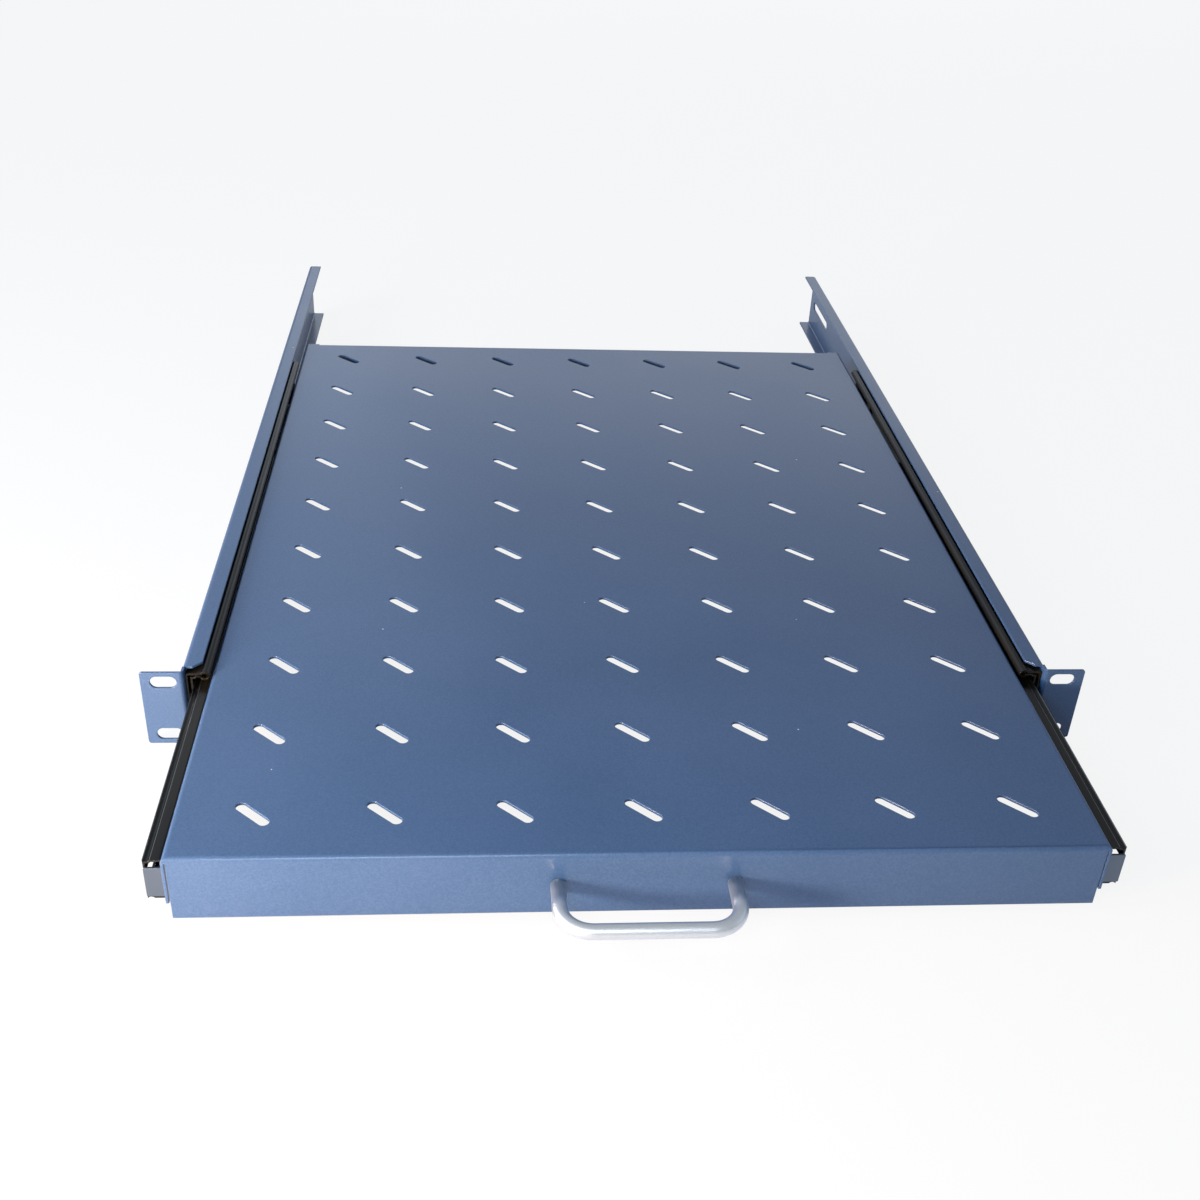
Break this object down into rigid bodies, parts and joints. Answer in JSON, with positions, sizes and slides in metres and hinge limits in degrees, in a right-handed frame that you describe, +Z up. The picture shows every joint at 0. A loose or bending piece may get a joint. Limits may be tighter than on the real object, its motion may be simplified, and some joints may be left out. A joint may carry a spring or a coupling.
{
  "type": "sliding rack shelf",
  "caption": "Sliding rack shelf: a vented folded tray with a bow handle, on telescopic ball slides between rack brackets with slotted ears.",
  "frame": {"origin": "midway between the ears, on their rear faces where they meet the rack posts, at half the height of the ears", "axes": "+X to the right seen from the front, +Y to the rear of the rack, +Z up; the tray and its handle come out towards -Y"},
  "size_m": [0.4826, 0.772, 0.0436],
  "materials": {
    "powder_coat": "fine-textured blue-grey powder coat",
    "rail_coat": "black electrocoat on rolled steel, lightly greased",
    "satin_aluminium": "satin",
    "zinc_screw": "zinc plated",
    "zinc_strip": "zinc plated strip",
    "bearing_ball": "polished bearing steel",
    "black_plastic": "moulded"
  },
  "bodies": {
    "root": {"left_bracket": "powder_coat", "left_outer_rail": "rail_coat", "left_outer_rail_screws": "zinc_screw", "left_rear_buffer": "black_plastic", "right_bracket": "powder_coat", "right_outer_rail": "rail_coat", "right_outer_rail_screws": "zinc_screw", "right_rear_buffer": "black_plastic"},
    "left_middle": {"left_middle_rail": "rail_coat"},
    "right_middle": {"right_middle_rail": "rail_coat"},
    "tray": {"shelf_tray": "powder_coat", "handle": "satin_aluminium", "handle_screws": "zinc_screw", "left_inner_rail": "rail_coat", "left_inner_rail_screws": "zinc_screw", "left_inner_rail_nuts": "zinc_screw", "right_inner_rail": "rail_coat", "right_inner_rail_screws": "zinc_screw", "right_inner_rail_nuts": "zinc_screw"},
    "left_outer_cage": {"left_outer_cage": "zinc_strip", "left_outer_balls": "bearing_ball"},
    "left_inner_cage": {"left_inner_cage": "zinc_strip", "left_inner_balls": "bearing_ball"},
    "right_outer_cage": {"right_outer_cage": "zinc_strip", "right_outer_balls": "bearing_ball"},
    "right_inner_cage": {"right_inner_cage": "zinc_strip", "right_inner_balls": "bearing_ball"}
  },
  "joints": [
    {"name": "middle_slide", "type": "slide", "parent": "root", "child": "left_middle", "axis": [0, -1, 0], "range_m": [0, 0.2]},
    {"name": "tray_slide", "type": "slide", "parent": "left_middle", "child": "tray", "axis": [0, -1, 0], "range_m": [-0.13, 0.07]},
    {"name": "right_middle_slide", "type": "slide", "parent": "root", "child": "right_middle", "axis": [0, -1, 0], "range_m": [0, 0.2]},
    {"name": "left_outer_cage_roll", "type": "slide", "parent": "root", "child": "left_outer_cage", "axis": [0, -1, 0], "range_m": [0, 0.1]},
    {"name": "right_outer_cage_roll", "type": "slide", "parent": "root", "child": "right_outer_cage", "axis": [0, -1, 0], "range_m": [0, 0.1]},
    {"name": "left_inner_cage_roll", "type": "slide", "parent": "left_middle", "child": "left_inner_cage", "axis": [0, -1, 0], "range_m": [-0.065, 0.035]},
    {"name": "right_inner_cage_roll", "type": "slide", "parent": "right_middle", "child": "right_inner_cage", "axis": [0, -1, 0], "range_m": [-0.065, 0.035]}
  ],
  "couplings": [
    {"joint": "right_middle_slide", "follows": "middle_slide", "ratio": 1},
    {"joint": "left_outer_cage_roll", "follows": "middle_slide", "ratio": 0.5},
    {"joint": "right_outer_cage_roll", "follows": "middle_slide", "ratio": 0.5},
    {"joint": "left_inner_cage_roll", "follows": "tray_slide", "ratio": 0.5},
    {"joint": "right_inner_cage_roll", "follows": "tray_slide", "ratio": 0.5}
  ]
}
